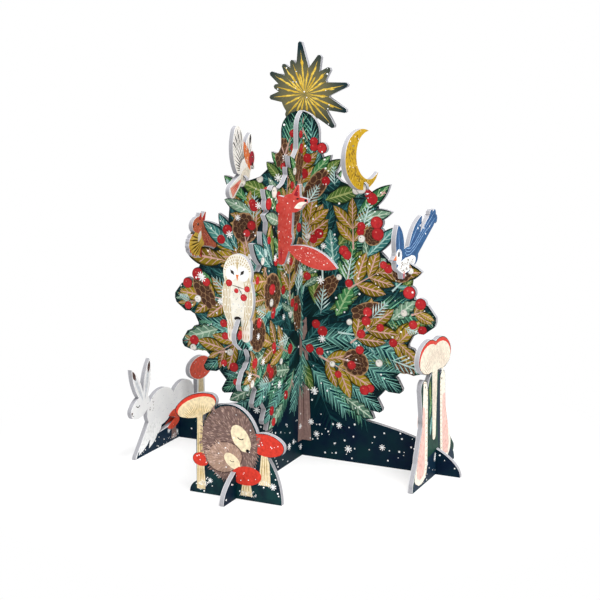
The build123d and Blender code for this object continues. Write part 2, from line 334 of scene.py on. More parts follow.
def bladeUnit(name, columns, widthAt, form="leaf"):
    deselect()
    bpy.ops.mesh.primitive_grid_add(x_subdivisions=columns, y_subdivisions=2, size=1, location=(0.5, 0, 0))
    piece = bpy.context.object
    bpy.ops.object.transform_apply()
    for x in sorted({round(vertex.co.x, 4) for vertex in piece.data.vertices}):
        selectWhere(piece, lambda co: abs(co.x - x) < 0.001)
        bpy.ops.transform.resize(value=(1, widthAt(x), 1), center_override=(x, 0, 0))
        setMode("OBJECT")
    return finishUnit(name, form)


def discUnit(name, corners):
    deselect()
    bpy.ops.mesh.primitive_circle_add(vertices=corners, radius=0.5, fill_type="NGON", location=(0.5, 0, 0))
    return finishUnit(name, "oval")


def barUnit(name, pointed=False):
    deselect()
    bpy.ops.mesh.primitive_plane_add(size=1, location=(0.5, 0, 0))
    if pointed:
        # the far edge is merged to a point
        bpy.ops.object.transform_apply()
        selectWhere(bpy.context.object, lambda co: co.x > 0.5)
        bpy.ops.mesh.merge(type="CENTER")
        setMode("OBJECT")
    return finishUnit(name, "bar")


def setTint(piece, tint):
    layer = piece.data.attributes.get("tint") or piece.data.attributes.new("tint", "FLOAT", "POINT")
    layer.data.foreach_set("value", [tint] * len(piece.data.vertices))


def copyOf(unit):
    piece = unit.copy()
    piece.data = unit.data.copy()
    bpy.context.collection.objects.link(piece)
    return piece


def joinAll(pieces, name):
    deselect()
    for piece in pieces:
        piece.select_set(True)
    bpy.context.view_layer.objects.active = pieces[0]
    bpy.ops.object.join()
    pieces[0].name = name
    return pieces[0]


def sideways(along, width):
    return Vector((-along.y, along.x)).normalized() * width


def arranged(name, marks, levels):
    # a unit made of copies of a simpler unit: (unit, base, tip, width, height, tint)
    pieces = []
    for unit, base, tip, width, height, tint in marks:
        piece = copyOf(unit)
        setTint(piece, tint)
        start, along = Vector(base), Vector(tip) - Vector(base)
        side = sideways(along, width)
        for vertex in piece.data.vertices:
            flat = start + along * vertex.co.x + side * vertex.co.y
            vertex.co = (flat.x, flat.y, height * vertex.co.z)
        pieces.append(piece)
    unit = joinAll(pieces, name)
    unit["levels"] = levels
    unit["form"] = "oval"
    return unit


fir = {"pairs": 10, "lean": 0.25, "reach": 0.49, "needle": 0.06, "paleNeedle": 0.03, "stem": 0.035, "seed": 3,
       "tints": (-0.4, 0.22), "paleTints": (0.5, 1.3)}


def firUnit(name, needle, pale):
    # dark needles, then fine pale ones between them, then the stem
    draw = random.Random(fir["seed"])
    marks = []
    rows = fir["pairs"] * (2 if pale else 1)
    for row in range(rows):
        fine = pale and row % 2
        at = 0.02 + 0.84 * row / (rows - 1)
        reach = fir["reach"] * math.sqrt(1 - at ** 4) * (0.78 + 0.22 * min(1, at * 4))
        for hand in (-1, 1):
            lean = fir["lean"] * (1 - 0.35 * at) * draw.uniform(0.75, 1.25)
            tip = (at + lean, hand * reach * draw.uniform(0.84, 1.0))
            width = fir["paleNeedle"] if fine else fir["needle"]
            tint = draw.uniform(*fir["paleTints" if fine else "tints"])
            marks.append((needle, (at, 0), tip, width, 3 if fine else 1 + row // 2 % 2, tint))
    levels = 4 if pale else 3
    marks.append((needle, (0, 0), (0.98, 0), fir["stem"], levels, 0.5))
    return arranged(name, marks, levels)


# rings of the end view: radius, count and size of the scales
coneShape = {"rows": 6, "scale": 0.26, "rings": ((0.36, 11, 0.25), (0.23, 8, 0.22), (0.11, 5, 0.2))}


def coneUnit(disc, dot):
    # overlapping rows of scales, from the tip back to the stalk
    marks = [(disc, (0.02, 0), (0.98, 0), 0.86, 1, 0.0)]
    half = coneShape["scale"] / 2
    for row in range(coneShape["rows"]):
        at = 0.86 - 0.74 * row / (coneShape["rows"] - 1)
        halfWidth = 0.40 * math.sqrt(max(0.05, 1 - (2 * at - 0.95) ** 2))
        across = 3 if row % 2 == 0 else 2
        for place in range(across):
            y = halfWidth * (2 * (place + 0.5) / across - 1)
            shade = 0.25 + 0.6 * ((row * 3 + place * 2) % 4) / 3
            marks.append((dot, (at - half, y), (at + half, y), 2.1 * halfWidth / across, 2 + row % 3, shade))
    return arranged("unitCone", marks, 4)


def rosetteUnit(disc, dot):
    # a cone seen from its end: rings of scales round the middle
    marks = [(disc, (0.0, 0), (1.0, 0), 1.0, 1, 0.0)]
    for level, (radius, count, size) in enumerate(coneShape["rings"]):
        for scale in range(count):
            turn = 2 * math.pi * (scale + 0.5 * (level % 2)) / count
            way = Vector((math.cos(turn), math.sin(turn)))
            middle = Vector((0.5, 0)) + way * radius
            shade = 0.2 + 0.6 * (scale % 3) / 2
            marks.append((dot, middle - way * size / 2, middle + way * size / 2, size, 2 + level, shade))
    return arranged("unitRosette", marks, 4)


def flakeUnit(bar, arms):
    marks = []
    for arm in range(arms):
        turn = math.pi * arm / arms
        reach = Vector((math.cos(turn), math.sin(turn))) * 0.5
        middle = Vector((0.5, 0))
        marks.append((bar, middle - reach, middle + reach, 0.12, 1 + arm, 0.8))
    return arranged("unitFlake", marks, arms)


def hollyWidth(x):
    # every third column is drawn in between two spines
    return max(0.05, math.sin(math.pi * x) ** 0.7) * (1.0 if round(x * 14) % 3 else 0.66)


def hoodWidth(x):
    return (1 - 0.5 * x) * math.sqrt(max(0.04, 1 - (2 * x - 1) ** 8))


units = {
    "leaf": bladeUnit("unitLeaf", 8, lambda x: max(0.04, 4 * x * (1 - x))),
    "holly": bladeUnit("unitHolly", 14, hollyWidth, "oval"),
    "hood": bladeUnit("unitHood", 30, hoodWidth, "bar"),
    "post": bladeUnit("unitPost", 6, lambda x: 1 - 0.42 * x, "bar"),
    "disc": discUnit("unitDisc", 20),
    "dot": discUnit("unitDot", 8),
    "sliver": discUnit("unitSliver", 4),
    "needle": barUnit("unitNeedle", True),
    "bar": barUnit("unitBar"),
}
units["fir"] = firUnit("unitFir", units["needle"], True)
units["firBack"] = firUnit("unitFirBack", units["needle"], False)
units["cone"] = coneUnit(units["disc"], units["dot"])
units["rosette"] = rosetteUnit(units["disc"], units["dot"])
units["flake"] = flakeUnit(units["bar"], 4)
# whether a spot of a unit's square lies under its shape
forms = {
    "leaf": lambda x, y: abs(2 * y) < 4.4 * x * (1 - x) + 0.05,
    "oval": lambda x, y: (2 * x - 1) ** 2 + (2 * y) ** 2 < 1.1,
    "bar": lambda x, y: True,
}
print("unit shapes modelled:", len(units))


# mm: grid of the cover, steps along a shape's axis, the shortest shape that is printed, and where a ray
# that looks for the card starts and how far it goes
laying = {"cell": 0.7, "step": 0.8, "shortest": 0.3, "rayStart": 10, "rayReach": 12, "triesPerMark": 6}


# One printed sheet: copies of the unit shapes stacked on a card's face, placed in mm along and up the card
def newSheet(name, seat=0.0, slots=(0.0,)):
    low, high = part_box(name)
    alongY = high.x - low.x < high.y - low.y
    mesh = nodes[name].data
    surface = BVHTree.FromPolygons([v.co for v in mesh.vertices], [list(p.vertices) for p in mesh.polygons])
    return {"name": name, "alongY": alongY, "middle": (low + high) / 2, "seat": seat, "slots": slots,
            "surface": surface, "cover": {}, "copies": [], "draw": random.Random(name)}


def onCard(sheet, u, v):
    # a ray from in front of the card, straight at its face, meets the card here or not
    height, off = (sheet["seat"] + v) * mm, laying["rayStart"] * mm
    if sheet["alongY"]:
        start, way = Vector((sheet["middle"].x + off, u * mm, height)), Vector((-1, 0, 0))
    else:
        start, way = Vector((u * mm, sheet["middle"].y - off, height)), Vector((0, 1, 0))
    return sheet["surface"].ray_cast(start, way, laying["rayReach"] * mm)[0] is not None


def around(u, v, gap):
    return (u + gap, v), (u - gap, v), (u, v + gap), (u, v - gap)


def holds(sheet, u, v):
    if all(onCard(sheet, *spot) for spot in around(u, v, board["inkMargin"])):
        return True
    # a slot counts as card: the crossing piece fills it
    beside = board["besideSlot"]
    inSlot = any(abs(u - slot) < board["slotHalf"] for slot in sheet["slots"])
    return inSlot and onCard(sheet, u - beside, v) and onCard(sheet, u + beside, v)


def stackLevel(sheet, base, along, side, unit):
    # one step above whatever is already printed under this shape
    cell = laying["cell"]
    steps = max(1, round(along.length / cell))
    rows = max(1, round(side.length / cell))
    under = forms[unit["form"]]
    cells = set()
    for i in range(steps):
        for j in range(rows):
            x, y = (i + 0.5) / steps, (j + 0.5) / rows - 0.5
            if under(x, y):
                spot = base + along * x + side * y
                cells.add((round(spot.x / cell), round(spot.y / cell)))
    level = 1 + max((sheet["cover"].get(key, 0) for key in cells), default=0)
    for key in cells:
        sheet["cover"][key] = level + unit["levels"] - 1
    return level


def heldSpan(sheet, start, along):
    # the longest run of the shape's axis that lies on the card, as shares of its length
    steps = max(4, round(along.length / laying["step"]))
    runs, begun = [(0, 0, 0)], None
    for step in range(steps + 1):
        if holds(sheet, *(start + along * step / steps)):
            begun = step if begun is None else begun
            runs.append((step - begun, begun, step))
        else:
            begun = None
    first, last = max(runs)[1:]
    return first / steps, last / steps


def drawnIn(sheet, inside, outside):
    # the furthest point on the way out that still lies on the card
    near, far = 0.0, 1.0
    for halving in range(6):
        share = (near + far) / 2
        if holds(sheet, *inside.lerp(outside, share)):
            near = share
        else:
            far = share
    return inside.lerp(outside, near)


def lay(sheet, unitName, base, tip, width, ink, tint=0.5):
    unit = units[unitName]
    start, along = Vector(base), Vector(tip) - Vector(base)
    side = sideways(along, width)
    first, last = heldSpan(sheet, start, along)
    if (last - first) * along.length < laying["shortest"]:
        return
    level = stackLevel(sheet, start, along, side, unit)
    piece = copyOf(unit)
    if piece.data.attributes.get("tint"):
        for item in piece.data.attributes["tint"].data:
            item.value = 0.75 * item.value + 0.25 * tint
    else:
        setTint(piece, tint)
    face = board["thickness"] / 2
    for vertex in piece.data.vertices:
        x, y, z = vertex.co
        spot = start + along * x + side * y
        if not holds(sheet, *spot):
            spot = drawnIn(sheet, start + along * min(max(x, first), last), spot)
        top = face + (level + z - 1) * board["inkStep"]
        vertex.co = (spot.x, spot.y, top if z > 0.5 else face - board["inkSink"])
    piece.data.materials.clear()
    piece.data.materials.append(inks[ink])
    sheet["copies"].append(piece)


def heading(degrees, length=1.0):
    return Vector((math.cos(math.radians(degrees)), math.sin(math.radians(degrees)))) * length


def bearing(u, v):
    return math.degrees(math.atan2(v, u))


def oval(sheet, u, v, halfLength, halfWidth, turn, ink, tint=0.5, unit="disc"):
    reach = heading(turn, halfLength)
    lay(sheet, unit, Vector((u, v)) - reach, Vector((u, v)) + reach, 2 * halfWidth, ink, tint)


def speck(sheet, u, v, radius, ink, tint):
    oval(sheet, u, v, radius, radius, 0, ink, tint, "dot")


def strokes(sheet, lines, width, ink, tint=0.5, unit="sliver"):
    for base, tip in lines:
        lay(sheet, unit, base, tip, width, ink, tint)


def fan(sheet, middle, angles, inner, outer, width, ink, tint=0.5, unit="sliver"):
    middle = Vector(middle)
    for angle in angles:
        lay(sheet, unit, middle + heading(angle, inner), middle + heading(angle, outer), width, ink, tint)


def trail(sheet, points, width, ink, tint=0.5):
    # a drawn line through the points
    strokes(sheet, zip(points, points[1:]), width, ink, tint, "bar")


def scatter(sheet, box, count, size, ink, unit="dot", within=None):
    # loose dots or flakes over a patch, kept on the card
    draw = sheet["draw"]
    left = count
    for attempt in range(count * laying["triesPerMark"]):
        u, v = draw.uniform(box[0], box[2]), draw.uniform(box[1], box[3])
        radius = draw.uniform(*size)
        turn = draw.uniform(0, 90)
        if left and all(holds(sheet, *spot) for spot in around(u, v, radius)):
            if within is None or within(u, v):
                oval(sheet, u, v, radius, radius, turn, ink, draw.uniform(0.4, 1), unit)
                left -= 1


def coat(sheet, patch, count, length, width, way, ink, wander=12, unit="sliver"):
    # hair, quills or feather marks over an oval patch (u, v, half width, half height), all one way
    # or away from a point: (u, v, turn)
    draw = sheet["draw"]
    for mark in range(count):
        turn, reach = draw.uniform(0, 360), math.sqrt(draw.random())
        spread = heading(turn, reach)
        start = Vector((patch[0] + patch[2] * spread.x, patch[1] + patch[3] * spread.y))
        lie = bearing(start.x - way[0], start.y - way[1]) + way[2] if isinstance(way, tuple) else way
        tip = start + heading(lie + draw.uniform(-wander, wander), length)
        if holds(sheet, *start) and holds(sheet, *tip):
            lay(sheet, unit, start, tip, width, ink, draw.random())


def standUp(sheet):
    # the joined print is turned upright, set on the front face and mirrored to the back
    name, alongY, middle = sheet["name"], sheet["alongY"], sheet["middle"]
    piece = joinAll(sheet["copies"], name + "_print")
    piece.rotation_euler = (math.pi / 2, 0, math.pi / 2 if alongY else 0)
    piece.scale = (mm, mm, mm)
    deselect()
    piece.select_set(True)
    bpy.context.view_layer.objects.active = piece
    bpy.ops.object.transform_apply()
    mirror = piece.modifiers.new("otherFace", "MIRROR")
    mirror.use_axis = (alongY, not alongY, False)
    mirror.use_mirror_merge = False
    bpy.ops.object.modifier_apply(modifier="otherFace")
    piece.location = (middle.x if alongY else 0, 0 if alongY else middle.y, sheet["seat"] * mm)
    bpy.ops.object.transform_apply()
    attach(piece, "root")
    highest = round(max(sheet["cover"].values()) * board["inkStep"], 2)
    triangles = sum(len(face.vertices) - 2 for face in piece.data.polygons)
    print("printed", name, len(sheet["copies"]), "shapes", triangles, "triangles", highest, "mm high")


foliage = {
    "heart": (0, 84),
    "armReach": 124,
    "halfWidth": 98,
    "hillTop": 62,        # where the foliage ends above the trunk's foot, and how it falls outwards
    "hillSlope": 0.42,
    "slots": {"side_panel": (0, 47, -47, 82, -82, 104, -104), "front_panel": (0, 8, -40, -95, -104)},
    # lines of the bark: place across, lowest, highest
    "bark": ((-6, 16, 60), (-3.6, 30, 82), (3.4, 14, 66), (5.6, 40, 84), (6.8, 18, 44)),
    # leaf, berry and fir shapes of the die-cut edge: base, tip, width, ink
    "edgeLeaves": [
        ((12, 203), (31.5, 219.5), 10, "leafMoss"), ((8, 205), (24, 222), 8, "leafGreen"),
        ((45, 182), (68.5, 203.5), 10, "leafGreen"), ((43, 177), (70.5, 184.5), 9.5, "leafSage"),
        ((52, 152), (74, 174.5), 10, "leafTeal"), ((60, 141), (93, 144), 15, "leafOchre"),
        ((-8, 205), (-22.5, 222.5), 8, "leafGreen"), ((-14, 202), (-26.5, 215), 8, "leafMoss"),
        ((-42, 186), (-61, 203.5), 9.5, "leafGreen"), ((-38, 178), (-61, 186), 10, "leafSage"),
        ((-50, 150), (-66, 175.5), 10, "leafTeal"), ((-53, 149), (-79, 169), 12, "leafTeal"),
        ((-60, 141), (-93, 144), 15, "leafOchre"),
    ],
    # leaves that fill the shoulders under the crown, the same on both sides
    "shoulders": [((30, 183), (56, 191), 12, "leafNight"), ((20, 190), (47, 199.5), 13, "leafMoss"),
                  ((10, 198), (33, 204.5), 13, "leafNight"), ((6, 205), (21, 215.5), 10, "leafMoss")],
    "footLeaf": ((36, 48), (58.5, 34.5), 11, "leafSage"),
    "edgeFir": [((52, 92), (98, 74.5), 23), ((42, 80), (79.5, 57), 17), ((34, 62), (64.5, 41), 14),
                ((56, 116), (104, 109.5), 30)],
    "crownFir": [((10, 204), (8.5, 249), 19), ((-10, 204), (-7, 247), 19), ((0, 206), (0.5, 252), 19)],
    "edgeBerries": [(17, 226.5, 4), (59, 176.5, 4.8), (60, 168.5, 4.8), (55.5, 193, 4.4), (84, 129, 4.8),
                    (92.5, 121.5, 4.2), (-55.5, 193, 4.4), (-84, 129, 4.8), (-92.5, 121.5, 4.2),
                    (-5, 236, 3.2), (-4, 226, 3.8), (6, 219, 3.6), (11, 231, 3.3), (3, 208, 4)],
    "seatBerry": (47, 199.8, 4.0),  # where the upper figures sit
    # single shoots: unit, inks, spacing, lengths, width share, lowest, highest, wander
    "backFir": ("firBack", ("firDeep",) * 3, 13, (28, 40), 0.48, 30, 252, 24),
    "backLeaves": ("leaf", ("leafNight", "leafMoss", "leafNight", "leafNight"), 12, (18, 28), 0.34,
                   66, 236, 34),
    "holly": ("holly", ("leafTeal", "leafSage", "leafGreen"), 34, (18, 24), 0.5, 70, 215, 40),
    "lowFir": ("fir", ("firTeal", "firGreen", "firTeal"), 14, (28, 38), 0.38, 28, 94, 16),
    "highFir": ("fir", ("firTeal", "firGreen"), 30, (24, 32), 0.4, 120, 215, 26),
    # leafy sprays: leaf ink, stem ink, spacing, stem lengths, leaf length, width share, lowest, highest
    "coolSprays": [
        ("leafTeal", "twigPale", 38, (26, 36), 18, 0.36, 95, 205),
        ("leafSage", "twigPale", 42, (24, 32), 16, 0.4, 100, 200),
        ("leafGreen", "twig", 48, (24, 32), 17, 0.36, 120, 205),
    ],
    "ochreSprays": [
        ("leafOchre", "twig", 27, (28, 40), 23, 0.46, 72, 152),
        ("leafOchre", "twig", 36, (24, 34), 20, 0.44, 156, 196),
    ],
    # leaves of a spray: place along the stem, angle from it
    "sprayLeaves": [(0.2, -42), (0.2, 42), (0.55, -42), (0.55, 42), (0.72, 0)],
    # spacing, lowest, highest
    "cones": (29, 74, 225),
    "twigs": (24, 66, 232),
    "berries": (21, 40, 240),
    "paleBerries": (30, 70, 230),
    "coneLength": (20, 28),
    "twigLength": (18, 28),
    "shortestShoot": 7,
    "shortestCone": 14,
    "coneShares": {"cone": 0.58, "rosette": 0.92},
    # side shoots of a twig: place along it, side, reach as a share of its length
    "forks": [(0.35, 1, 0.3), (0.55, -1, 0.3)],
    "sprigs": [(at, hand, 0.36 * (1.1 - at)) for at in (0.12, 0.27, 0.42, 0.57, 0.72) for hand in (1, -1)],
    "berrySize": (2.6, 3.9),
    "berryStray": 6,
    "paleSize": (2.2, 2.9),
    "snowDots": 170,
    "flakes": 18,
}


def shortened(sheet, base, tip):
    # draws the tip back until the whole rib lies on the card
    for share in (1.0, 0.86, 0.72, 0.58, 0.44, 0.3):
        end = base.lerp(tip, share)
        if all(holds(sheet, *base.lerp(end, at)) for at in (0.0, 0.3, 0.6, 0.85, 1.0)):
            return end
    return None


def spread(sheet, spacing, lowest, highest, tries=900):
    # seeded points above the snow hill, no nearer to each other than the spacing
    draw, half, points = sheet["draw"], foliage["halfWidth"], []
    for attempt in range(tries):
        u, v = draw.uniform(-half, half), draw.uniform(lowest, highest)
        if v > foliage["hillTop"] - foliage["hillSlope"] * abs(u) and holds(sheet, u, v):
            if all(math.dist((u, v), other) > spacing for other in points):
                points.append((u, v))
    return points


def growing(sheet, point, length, wander):
    # shoots point away from the heart of the tree
    turn = bearing(*(point - Vector(foliage["heart"]))) + sheet["draw"].uniform(-wander, wander)
    return point + heading(turn, length)


def trunk(sheet):
    lay(sheet, "post", (0, 12), (0, 104), 18, "bark", 0.5)
    for u, low, high in foliage["bark"]:
        lay(sheet, "sliver", (u, low), (u * 0.8, high), 0.9, "barkLine", sheet["draw"].random())


def berryOn(sheet, u, v, radius, ink="berry"):
    oval(sheet, u, v, radius, radius, 0, ink, sheet["draw"].random())


def shoots(sheet, layer):
    draw = sheet["draw"]
    unit, choices, spacing, lengths, share, lowest, highest, wander = foliage[layer]
    for point in map(Vector, spread(sheet, spacing, lowest, highest)):
        tip = growing(sheet, point, draw.uniform(*lengths), wander)
        base = point + (point - tip) * 0.3
        if not holds(sheet, *base):
            base = point
        end = shortened(sheet, base, tip)
        if end is not None and (end - base).length > foliage["shortestShoot"]:
            lay(sheet, unit, base, end, (end - base).length * share, draw.choice(choices), draw.random())


def sprays(sheet, leafName, stemName, spacing, lengths, leafLength, share, lowest, highest):
    # a stem with two pairs of leaves and one at its end
    draw = sheet["draw"]
    for point in map(Vector, spread(sheet, spacing, lowest, highest)):
        end = shortened(sheet, point, growing(sheet, point, draw.uniform(*lengths), 34))
        if end is None:
            continue
        stem = end - point
        for at, lean in foliage["sprayLeaves"]:
            start = point + stem * at
            leaf = heading(bearing(*stem) + lean, leafLength * draw.uniform(0.85, 1.1))
            tip = shortened(sheet, start, start + leaf)
            if tip is not None:
                lay(sheet, "leaf", start, tip, (tip - start).length * share, leafName, draw.random())
        lay(sheet, "needle", point, point + stem * 0.95, 1.5, stemName, draw.random())


def cones(sheet):
    draw = sheet["draw"]
    for count, point in enumerate(map(Vector, spread(sheet, *foliage["cones"], 500))):
        end = shortened(sheet, point, growing(sheet, point, draw.uniform(*foliage["coneLength"]), 40))
        if end is not None and (end - point).length > foliage["shortestCone"]:
            unit = "rosette" if count % 3 == 2 else "cone"
            width = (end - point).length * foliage["coneShares"][unit]
            lay(sheet, unit, point, end, width, "cone", draw.random())


def twigs(sheet):
    # bare forked twigs, and pale sprigs with shoots all along
    draw = sheet["draw"]
    for point in map(Vector, spread(sheet, *foliage["twigs"], 500)):
        ink = draw.choice(("twig", "twigPale"))
        end = shortened(sheet, point, growing(sheet, point, draw.uniform(*foliage["twigLength"]), 30))
        if end is not None:
            tints = [draw.random() for mark in range(3)]
            lay(sheet, "sliver", point, end, 1.3, ink, tints[0])
            rib = end - point
            for at, hand, reach in foliage["sprigs" if ink == "twigPale" else "forks"]:
                start = point + rib * at
                shoot = start + rib * reach + Vector((-rib.y, rib.x)) * 0.83 * reach * hand
                lay(sheet, "sliver", start, shoot, 1.0, ink, tints[hand])


def berries(sheet):
    draw, stray = sheet["draw"], foliage["berryStray"]
    for point in spread(sheet, *foliage["berries"]):
        for berry in range(draw.choice((1, 2, 2))):
            u = point[0] + draw.uniform(-stray, stray)
            v = point[1] + draw.uniform(-stray, stray)
            radius = draw.uniform(*foliage["berrySize"])
            if holds(sheet, u - radius, v) and holds(sheet, u + radius, v):
                berryOn(sheet, u, v, radius)
    for u, v in spread(sheet, *foliage["paleBerries"], 500):
        if holds(sheet, u - 3, v) and holds(sheet, u + 3, v):
            berryOn(sheet, u, v, draw.uniform(*foliage["paleSize"]), "berryPale")


def flipped(hand, *points):
    return [(hand * u, v) for u, v in points]


def leafyPanel(name):
    sheet = newSheet(name, 0.0, foliage["slots"][name])
    draw = sheet["draw"]
    shoots(sheet, "backFir")
    trunk(sheet)
    for layer in ("backLeaves", "highFir", "lowFir"):
        shoots(sheet, layer)
    for hand in (-1, 1):
        for base, tip, width in foliage["edgeFir"]:
            ink = draw.choice(("firTeal", "firGreen", "firTeal"))
            lay(sheet, "fir", *flipped(hand, base, tip), width, ink, draw.random())
        base, tip, width, ink = foliage["footLeaf"]
        lay(sheet, "holly", *flipped(hand, base, tip), width, ink, draw.random())
    for base, tip, width in foliage["crownFir"]:
        lay(sheet, "fir", base, tip, width, draw.choice(("firTeal", "firGreen")), draw.random())
    for base, tip, width, ink in foliage["shoulders"]:
        for hand in (-1, 1):
            lay(sheet, "leaf", *flipped(hand, base, tip), width, ink, draw.random())
    for spray in foliage["coolSprays"]:
        sprays(sheet, *spray)
    shoots(sheet, "holly")
    for spray in foliage["ochreSprays"]:
        sprays(sheet, *spray)
    for base, tip, width, ink in foliage["edgeLeaves"]:
        lay(sheet, "leaf", base, Vector(base).lerp(Vector(tip), 0.98), width * 0.95, ink, draw.random())
    cones(sheet)
    twigs(sheet)
    for u, v, radius in foliage["edgeBerries"]:
        berryOn(sheet, u, v, radius - 0.3)
    berries(sheet)
    u, v, radius = foliage["seatBerry"]
    for hand in (-1, 1):
        berryOn(sheet, hand * u, v, radius, "berryPale")
    reach = foliage["armReach"]
    scatter(sheet, (-100, 40, 100, 245), foliage["snowDots"], (0.35, 0.85), "snow")
    scatter(sheet, (-90, 50, 90, 235), foliage["flakes"], (2.2, 3.1), "snow", "flake")
    scatter(sheet, (-reach, 2, reach, 34), 90, (0.35, 0.8), "snow")
    scatter(sheet, (-reach + 6, 4, reach - 6, 30), 14, (2.0, 3.0), "snow", "flake")
    printedBoard(name, nightUnderLeaves)
    standUp(sheet)


leafyPanel("side_panel")
leafyPanel("front_panel")


# The smaller cards: each dictionary holds the seat in mm, the colour of the face and the marks in the
# order in which they are printed
def printCard(name, card):
    sheet = newSheet(name, card["seat"])
    for mark, *values in card["marks"]:
        mark(sheet, *values)
    printedBoard(name, card["face"])
    standUp(sheet)


def dryBrush(sheet):
    # each stroke is a long mark with short ones beside it
    draw, middle = sheet["draw"], starburst["middle"]
    for angle, length in starburst["strokes"]:
        fan(sheet, middle, [angle], draw.uniform(0, 2), length, 1.3, "gold", draw.uniform(0.2, 0.7))
        for mark in range(4):
            begin = draw.uniform(0.15, 0.7) * length
            beside = angle + draw.uniform(-2.5, 2.5)
            fan(sheet, middle, [beside], begin, begin + 5, 1.1, "gold", draw.random())


starburst = {
    "seat": 244,
    "face": starGlow,
    "middle": (0, 19),
    # a stroke into each point, and shorter ones between: angle and length
    "strokes": [(96, 31), (67, 26), (44, 23), (13, 31), (-19, 31), (-45, 28), (-133, 20), (-174, 25),
                (168, 23), (152, 27), (130, 25), (114, 23), (82, 19), (55, 15), (30, 20), (-4, 22),
                (-33, 22), (-62, 19), (-80, 16), (-103, 17), (-118, 15), (-153, 18), (142, 17), (105, 15)],
    "marks": [(dryBrush,), (scatter, (-30, -2, 34, 54), 14, (0.3, 0.65), "snow")],
}
printCard("star", starburst)

crescent = {"seat": 201.5, "face": mottled("#b38b08", "#c9a216", 2.5), "marks": [
    (coat, (-8, 19, 28, 22), 50, 2.2, 0.5, (6, 20, 90), "goldPale", 25),
    (coat, (-8, 19, 26, 19), 170, 2.2, 1.0, (6, 20, 90), "goldDark", 30),
    (scatter, (-36, -4, 28, 40), 10, (0.3, 0.55), "snow"),
]}
printCard("moon", crescent)

robin = {"seat": 201.5, "face": mottled("#f6f1e8", "#fffdf9", 2.5), "marks": [
    (fan, (1, 7), range(98, 186, 9), 8, 36, 1.1, "soot", 0.9, "bar"),
    (fan, (1, 7), [angle + 4.5 for angle in range(98, 186, 9)], 17, 36, 1.5, "soot", 0.3),
    (fan, (2, 5), range(62, 92, 9), 12, 30, 1.0, "umber", 0.0, "bar"),
    (lay, "leaf", (9, 24), (10.6, 32), 3, "soot", 0.7),
    # tail, lower body and breast
    (lay, "needle", (-20, -8), (-1, 2), 12, "coral", 0.8),
    (fan, (-1, 2), (204, 210, 216), 6, 20, 0.8, "red", 0.6),
    (oval, 1.5, 3, 8, 4.6, 24, "cream", 0.2),
    (coat, (1.5, 3, 6, 4), 22, 1.3, 0.35, 210, "tan", 25),
    (lay, "leaf", (9.5, 5.5), (-0.5, 27), 8, "orange", 0.35),
    (coat, (4, 15, 2.6, 8), 22, 1.6, 0.45, 118, "cream", 14),
    # head, bill and eye
    (oval, 11.8, 13.8, 5.4, 4.2, 80, "crimson", 0.7),
    (coat, (11.6, 13, 3, 4), 14, 1.3, 0.4, 250, "red", 20),
    (lay, "needle", (12.2, 10.6), (15.2, 6.4), 2.4, "soot", 0.5),
    (speck, 12.4, 14.8, 0.9, "soot", 0.1),
    (speck, 12.7, 15.1, 0.3, "cream", 1),
]}
printCard("robin", robin)

squirrel = {"seat": 147, "face": mottled("#c8623c", "#dd7f52", 3), "marks": [
    # tail
    (oval, -10, 6, 12, 9.6, 0, "gold", 0.35),
    (fan, (1, 7), range(128, 250, 11), 5, 22, 1.3, "goldDark", 0.2),
    (fan, (1, 7), range(133, 250, 11), 8, 21, 0.6, "goldPale", 0.2),
    # body, head and ears
    (lay, "leaf", (-3, 17), (21, 0), 15, "russet", 0.9),
    (coat, (8, 9, 11, 7), 60, 2.4, 0.5, -38, "crimson", 14),
    (coat, (8, 9, 11, 7), 40, 2.0, 0.45, -38, "coral", 16),
    (oval, -5, 19, 9.2, 5.8, -8, "russet", 0.95),
    (coat, (-5, 19, 7, 4.4), 26, 1.6, 0.4, 165, "coral", 25),
    (lay, "leaf", (-2.5, 15), (-7, 7), 4.6, "cream", 0.7),
    (oval, -0.5, -1.5, 4.5, 4, 80, "crimson", 0.2),
    (strokes, [((1, 22), (4.4, 27.6)), ((-4, 23), (-2.4, 27.6))], 3.2, "crimson", 0.8, "needle"),
    # eye and nose
    (oval, -7, 20.2, 1.3, 1.2, 0, "soot", 0.1, "dot"),
    (speck, -7.4, 20.6, 0.4, "cream", 1),
    (oval, -14.2, 19.4, 1.0, 0.9, 0, "soot", 0.2, "dot"),
]}
printCard("squirrel", squirrel)


def backWaves(sheet, count, step):
    for wave in range(count):
        drop = step * wave
        points = [(-13 + 0.5 * wave, 20 - 1.3 * drop), (-8, 15.5 - drop), (-1, 14 - drop * 0.8),
                  (8, 17 - drop * 0.9), (18, 22 - drop), (33, 29 - drop)]
        trail(sheet, points, 0.6, "blueLight" if wave % 2 else "blueDeep", 0.2)


def wing(sheet, base, tip, width):
    rib = Vector(tip) - Vector(base)
    for share in (-0.28, -0.1, 0.1, 0.28):
        root = Vector(base) + sideways(rib, width) * share + rib * 0.08
        ink = "blueLight" if share > 0.2 else "blueDeep"
        lay(sheet, "sliver", root, Vector(base) + rib * 0.94, 0.9, ink, 0.15)


